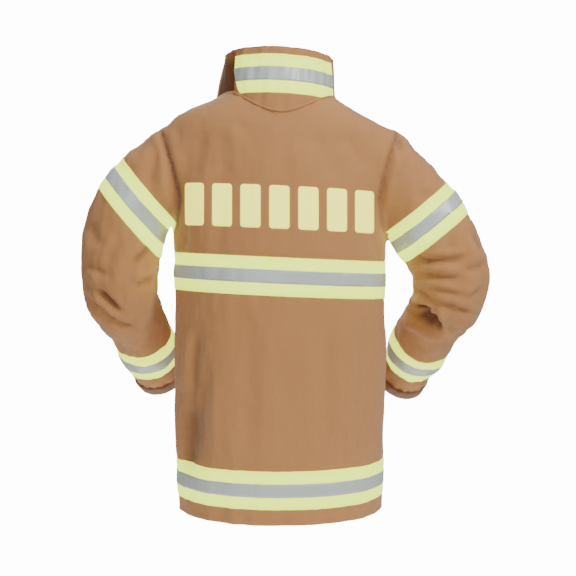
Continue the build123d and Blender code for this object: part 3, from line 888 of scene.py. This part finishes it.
# the seam where the collar meets the body, a low piping
SEAM_STEPS = 180
seam_line = []
for i in range(SEAM_STEPS + 1):
    theta = math.radians(-152 + 304 * i / SEAM_STEPS)
    found = collar_seam(theta)
    for step in range(60):
        z = collar_seam(theta) - 30 + step
        at = collar_point(theta, z, 0.0)
        away = collar_point(theta, z, 100.0)
        hit, normal, face, d = tree.ray_cast(away, (at - away).normalized(), 220)
        if hit is None or (hit - away).length > (at - away).length:
            found = z
            break
    seam_line.append(found)
seam_line = np.convolve(np.pad(seam_line, 12, mode="edge"), np.ones(25) / 25, "valid")
line = []
for i, z in enumerate(seam_line):
    theta = math.radians(-152 + 304 * i / SEAM_STEPS)
    at = collar_point(theta, z, 0.6)
    line.append((at, 2.3, 2.6, 0.0, (collar_point(theta, z, 6.0) - at).normalized()))
collar_tube("collar_seam_piping", line, 8)


def trim_ends(t):
    return -70 + 2 * t, 43 + 14 * t ** 0.7


COLLAR_TRIM_Z = 79
collar_tape = collar_sheet("collar_tape", 1.6, lambda a: COLLAR_TRIM_Z - TRIM / 2,
                           lambda a: COLLAR_TRIM_Z + TRIM / 2, 0, 0, 150, 24, trim_ends)
collar_silver = collar_sheet("collar_silver", 2.3, lambda a: COLLAR_TRIM_Z - SILVER / 2,
                             lambda a: COLLAR_TRIM_Z + SILVER / 2, 0, 0, 150, 10,
                             lambda t: trim_ends(0.33 + 0.34 * t))
dress(collar_tape, LIME, "lime_tape", 0.0009, "coat_body", "collar_trim")
dress(collar_silver, STRIPE, "silver_stripe", 0.0009, "coat_body", "collar_trim_stripe")

# ------------ seven plain blocks on the back
verts, faces = [], []
WIDE, HIGH, ROUND, NX, NZ = 40.0, 85.0, 6.0, 12, 24
for n in range(-3, 4):
    base = len(verts)
    for j in range(NZ + 1):
        for i in range(NX + 1):
            u, w = (i / NX - 0.5) * WIDE, (j / NZ - 0.5) * HIGH
            over_u, over_w = abs(u) - (WIDE / 2 - ROUND), abs(w) - (HIGH / 2 - ROUND)
            if over_u > 0 and over_w > 0:
                reach = math.hypot(over_u, over_w)
                pull = max(over_u, over_w) / reach
                u = math.copysign(WIDE / 2 - ROUND + over_u * pull, u)
                w = math.copysign(HIGH / 2 - ROUND + over_w * pull, w)
            x = 57.0 * n + u
            z = MARK_Z + w + x * math.tan(LEAN)
            hit, normal, face, d = tree.ray_cast(Vector((x, 400, z)), Vector((0, -1, 0)))
            f = faces_all[face]
            smooth = Vector(unit(sum(nor[k] for k in f)))
            verts.append(hit + smooth * 0.9)
    faces += grid_faces(NX, NZ, base)
blocks = make_mesh("back_marking_blocks", verts, faces)
dress(blocks, PALE, "pale_marking", 0.0008, "coat_body", "back_marking")

# ------------ cuffs
for key, s in SLEEVES.items():
    cu, way = s["cuff"], s["fore_way"]
    a = unit(np.cross(way, (0, 0, 1)))
    b = np.cross(way, a)

    def ring_set(profile, sides, ruffle, ribs, a=a, b=b, cu=cu, way=way):
        rings = []
        for k, (back, radius) in enumerate(profile):
            ring = []
            for i in range(sides):
                t = 2 * math.pi * i / sides
                r = radius + ruffle * math.sin(ribs * t + 0.9 * math.sin(3 * t)) * (0.6 + 0.4 * math.sin(k))
                ring.append(cu - way * back + r * (a * math.cos(t) + b * math.sin(t)))
            rings.append(ring)
        return rings

    binding = [(25, 54.0), (24, 58.4), (18, 59.0), (11, 58.4), (4, 57.6), (-1, 56.4), (-3.2, 54.0),
               (-3.0, 51.0), (0, 49.4), (10, 49.2), (22, 50.0)]
    cuff = loft(f"{key}_cuff_edge", ring_set(binding, 144, 1.3, 13), closed_ends=False)
    knit = [(80, 44.0), (60, 43.2), (40, 42.2), (20, 41.0), (6, 40.0), (-3, 39.6), (-6.5, 38.4),
            (-6, 36.6), (0, 36.4), (30, 38.0), (78, 41.0)]
    ribbed = loft(f"{key}_ribbed_wristlet", ring_set(knit, 240, 0.55, 60), closed_ends=False)
    for p, m, slot_name, node in ((cuff, LEATHER, "cuff_binding", f"{key}_cuff_binding"),
                                  (ribbed, KNIT, "knit", f"{key}_wristlet")):
        face_outwards(p)
        dress(p, m, slot_name, 0, key + "_forearm", node)

# ------------ front closure
rise = Vector((0, 63.0, 863.0)).normalized()
out_front = Vector((0, -rise.z, rise.y))
front_zero = Vector((0, -front_depth(0.0), 0))


def on_front(x, up, out):
    return front_zero + Vector((x, 0, 0)) + rise * up + out_front * out


def strip_sheet(name, x0, x1, low, high, out, columns, rows, wobble=0.0):
    """A flat strip of cloth on the front line, a little uneven, as a grid."""
    verts, across, along = [], [], []
    for j in range(rows + 1):
        up = low + (high - low) * j / rows
        for i in range(columns + 1):
            x = x0 + (x1 - x0) * i / columns
            bend = wobble * (math.sin(up / 47.0 + x / 30.0) + 0.6 * math.sin(up / 21.0 + 2.0)) * 0.5
            puff = 0.5 * wobble * math.sin(math.pi * i / columns)
            verts.append(on_front(x, up, out + bend + puff))
            across.append((up - (low + high) / 2) / 1000)
            along.append(x / 1000)
    piece = make_mesh(name, verts, grid_faces(columns, rows, turned=True))
    put_attribute(piece, "across", across)
    put_attribute(piece, "along", along)
    return piece


flap = strip_sheet("storm_flap_cloth", -38, 46, -796, -42, 5.6, 14, 120, 0.5)
dress(flap, CANVAS, "canvas", 0.0026, "storm_flap", "storm_flap", rolled=0.0009)
for label, z in (("chest", CHEST_Z), ("hem", HEM_TRIM_Z)):
    up = z / rise.z
    for kind, width, out, m, slot_name in (("tape", TRIM, 6.6, LIME, "lime_tape"),
                                           ("silver", SILVER, 7.1, STRIPE, "silver_stripe")):
        p = strip_sheet(f"storm_flap_{label}_{kind}", -37.4, 45.4, up - width / 2, up + width / 2, out,
                        14, 16, 0.5)
        dress(p, m, slot_name, 0.0008, "storm_flap")
# two rows of stitches along the flap's edges
for n, x in enumerate((-35.0, -31.5, 37.5, 41.0)):
    points = []
    for k in range(150):
        up = -792 + 748 * (k + 0.2) / 150
        if any(abs(up - z / rise.z) < TRIM / 2 + 2 for z in (CHEST_Z, HEM_TRIM_Z)):
            continue
        bend = 0.5 * (math.sin(up / 47.0 + x / 30.0) + 0.6 * math.sin(up / 21.0 + 2.0)) * 0.5
        for du, dx, do in ((0, 0, 0.0), (1.5, 0.45, 0.35), (3.1, 0, 0.0), (1.5, -0.45, 0.35)):
            points.append(on_front(x + dx, up + du, 5.7 + bend + do))
    stitches(f"storm_flap_stitches_{n}", points, "storm_flap")

tab_lo, tab_hi = (np.array(c) * 1000 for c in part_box("throat_tab"))
verts = []
for j in range(13):
    for i in range(31):
        x = tab_lo[0] + (tab_hi[0] - tab_lo[0]) * i / 30
        w = j / 12 - 0.5
        corner = max(0.0, 1 - (x - tab_lo[0]) / 12.0)
        half = 17.0 - 9.0 * corner ** 2
        verts.append((x, tab_lo[1] + 0.2 - 0.6 * math.sin(math.pi * j / 12),
                      (tab_lo[2] + tab_hi[2]) / 2 + 2 * half * w))
tab = make_mesh("throat_tab_cloth", verts, grid_faces(30, 12, turned=True))
dress(tab, CANVAS, "canvas", 0.0022, "throat_tab", "throat_tab", rolled=0.0008)

# ------------ bellows pockets and their flaps
TURN = math.radians(21.8)
PW, PH, PD = 126.0, 180.0, 34.0
for key, side in (("left", 1), ("right", -1)):
    normal = Vector((side * math.sin(TURN), -math.cos(TURN), 0.073)).normalized()
    across_way = Vector((math.cos(TURN), side * math.sin(TURN), 0))
    up_way = normal.cross(across_way)
    place = Vector((side * 112.0, -122.5, -612.0))

    def on_pocket(u, w, d):
        return place + across_way * u + up_way * w + normal * d

    # the pocket's front, sides and bottom as one sheet that folds in at the bellows
    path = [(-PW / 2, PH / 2)] + [(-PW / 2, PH / 2 - 8 * k) for k in range(1, 21)]
    quarter = np.linspace(0, math.pi / 2, 8)
    path += [(-PW / 2 + 12 - 12 * math.cos(a), -PH / 2 + 12 - 12 * math.sin(a)) for a in quarter]
    path += [(x, -PH / 2) for x in np.linspace(-PW / 2 + 20, PW / 2 - 20, 12)]
    path += [(PW / 2 - 12 + 12 * math.sin(a), -PH / 2 + 12 - 12 * math.cos(a)) for a in quarter]
    path += [(PW / 2, PH / 2 - 8 * k) for k in range(20, 0, -1)] + [(PW / 2, PH / 2)]
    depth_steps = [(-9.0, 0.0), (0.0, 0.0), (6.0, 0.6), (12.0, 2.2), (17.0, 3.0), (22.0, 2.2), (28.0, 0.5),
                   (31.5, 0.2), (33.3, 1.2), (34.0, 3.2)]
    verts, faces = [], []
    n = len(path)
    for d, pull in depth_steps:
        for u, w in path:
            out_u = u * (1 - pull / (PW / 2)) if abs(u) > 1 else u
            out_w = w + (pull if w < -PH / 2 + 13 else 0)
            verts.append(on_pocket(out_u, out_w, d))
    for j in range(len(depth_steps) - 1):
        for i in range(n - 1):
            k = j * n + i
            faces.append((k, k + 1, k + n + 1, k + n))
    inner_ring = (len(depth_steps) - 1) * n
    half = n // 2
    cols = 14
    grid = {}
    for i in range(half + 1):
        a, b = inner_ring + i, inner_ring + n - 1 - i
        if a >= b:
            break
        row = [a]
        for c in range(1, cols):
            t = c / cols
            p = Vector(verts[a]) * (1 - t) + Vector(verts[b]) * t
            puff = 2.2 * math.sin(math.pi * t) * math.sin(math.pi * min(1, i / (half + 0.001)))
            dent = 1.2 * noise.noise(p / 38.0)
            verts.append(p + normal * (min(0.0, dent) + 0.2 * puff - 0.2))
            row.append(len(verts) - 1)
        row.append(b)
        grid[i] = row
    rows = [grid[i] for i in sorted(grid)]
    for r0, r1 in zip(rows, rows[1:]):
        for c in range(cols):
            faces.append((r0[c], r1[c], r1[c + 1], r0[c + 1]))
    pocket = make_mesh(f"{key}_pocket_cloth", verts, faces)
    face_outwards(pocket, merge=0.00002)
    dress(pocket, CANVAS, "canvas", 0.0016, "coat_body", f"{key}_pocket")

    profile = [(104.6, 2.4), (103.2, 8.0), (100.2, 20.0), (97.0, 32.0), (94.6, 36.4), (91.0, 38.0),
               (84.0, 38.3), (70.0, 38.5), (56.0, 38.4), (44.0, 38.1), (36.0, 37.8)]
    verts = []
    cols = 30
    for j, (w, d) in enumerate(profile):
        for i in range(cols + 1):
            u = (i / cols - 0.5) * (PW + 3)
            drop = 0.0
            corner = max(0.0, abs(u) - (PW / 2 + 1.5 - 10))
            if w < 50:
                drop = corner ** 2 / 22.0 * (50 - w) / 14.0
            ease = 0.25 * math.sin(u / 9.0 + j)
            verts.append(on_pocket(u, w + drop, d + ease))
    lid = make_mesh(f"{key}_pocket_flap_cloth", verts, grid_faces(cols, len(profile) - 1))
    bm = bmesh.new()
    bm.from_mesh(lid.data)
    if bm.faces[:][len(bm.faces) // 2].normal.dot(normal) < 0:
        bmesh.ops.reverse_faces(bm, faces=bm.faces)
    bm.to_mesh(lid.data)
    bm.free()
    dress(lid, CANVAS, "canvas", 0.0022, f"{key}_pocket_flap", f"{key}_pocket_flap", rolled=0.0007)
    # stitches along the flap's free edge
    points = []
    for w in (40.5, 43.5):
        for k in range(34):
            u = (k / 33 - 0.5) * (PW - 12)
            for du, dw, do in ((-1.4, 0, 0), (0, 0.45, 0.35), (1.4, 0, 0), (0, -0.45, 0.35)):
                points.append(on_pocket(u + du, w + dw, 38.55 + do))
    stitches(f"{key}_pocket_flap_stitches", points, f"{key}_pocket_flap")

# ------------ carried-over CAD nodes
for m, names in ((BLACK_TAPE, ("zipper_tape_left", "zipper_tape_right", "hang_loop")),
                 (BRASS, ("zipper_teeth_left", "zipper_teeth_right", "zipper_box", "zipper_slider",
                          "zipper_pull")),
                 (LOOP, ("storm_flap_loop_strip", "left_pocket_loop_strip", "right_pocket_loop_strip"))):
    for node in names:
        for holder in NODES[node].material_slots:
            holder.material = m
        if not NODES[node].material_slots:
            NODES[node].data.materials.append(m)

# ------------ camera, light and floor
camera_data = bpy.data.cameras.new("camera")
camera_data.sensor_width = 36.0
camera_data.lens = 59.4
camera = new_object("camera", camera_data)
camera.location = (-0.017, 2.016, -0.271)
camera.rotation_euler = (math.radians(90 - 2.3), 0, math.radians(180))
bpy.context.scene.camera = camera


def area_light(name, at, towards, size, power, color=(1, 1, 1)):
    data = bpy.data.lights.new(name, "AREA")
    data.shape = "DISK"
    data.size = size
    data.energy = power
    data.color = color
    lamp = new_object(name, data)
    lamp.location = at
    lamp.rotation_euler = (Vector(towards) - Vector(at)).to_track_quat("-Z", "Y").to_euler()


area_light("key", (-1.7, 1.9, 1.5), (0, 0, -0.3), 0.8, 62)
area_light("fill", (0.5, 2.7, 0.3), (0, 0, -0.4), 1.3, 22)
area_light("front", (0.9, -2.3, 0.9), (0, 0, -0.4), 1.2, 40)
area_light("top", (0.0, 0.5, 2.2), (0, 0, -0.3), 1.0, 12)
world = bpy.data.worlds.new("studio")
world.use_nodes = True
bpy.context.scene.world = world
# the coat is lit by the dim background; the camera sees the bright one
nt = world.node_tree
dim, bright = nt.nodes["Background"], nt.nodes.new("ShaderNodeBackground")
for background, strength in ((dim, 0.34), (bright, 14.0)):
    background.inputs["Color"].default_value = (1.0, 1.0, 1.0, 1.0)
    background.inputs["Strength"].default_value = strength
rays = nt.nodes.new("ShaderNodeLightPath")
pick = nt.nodes.new("ShaderNodeMixShader")
nt.links.new(rays.outputs["Is Camera Ray"], pick.inputs[0])
nt.links.new(dim.outputs[0], pick.inputs[1])
nt.links.new(bright.outputs[0], pick.inputs[2])
nt.links.new(pick.outputs[0], nt.nodes["World Output"].inputs["Surface"])

floor_mesh = bpy.data.meshes.new("floor")
FLOOR_R, FLOOR_Z = 0.76, -1.25
around = [math.radians(a) for a in range(0, 360, 4)]
floor_mesh.from_pydata([(FLOOR_R * math.cos(a), FLOOR_R * math.sin(a), FLOOR_Z) for a in around],
                       [], [tuple(range(len(around)))])
floor = new_object("floor", floor_mesh)
pale = bpy.data.materials.new("pale floor")
pale.use_nodes = True
for which, v in (("Base Color", (0.93, 0.93, 0.93, 1.0)), ("Roughness", 0.9),
                 ("Emission Color", (1.0, 1.0, 1.0, 1.0)), ("Emission Strength", 1.3)):
    pale.node_tree.nodes["Principled BSDF"].inputs[which].default_value = v
floor_mesh.materials.append(pale)
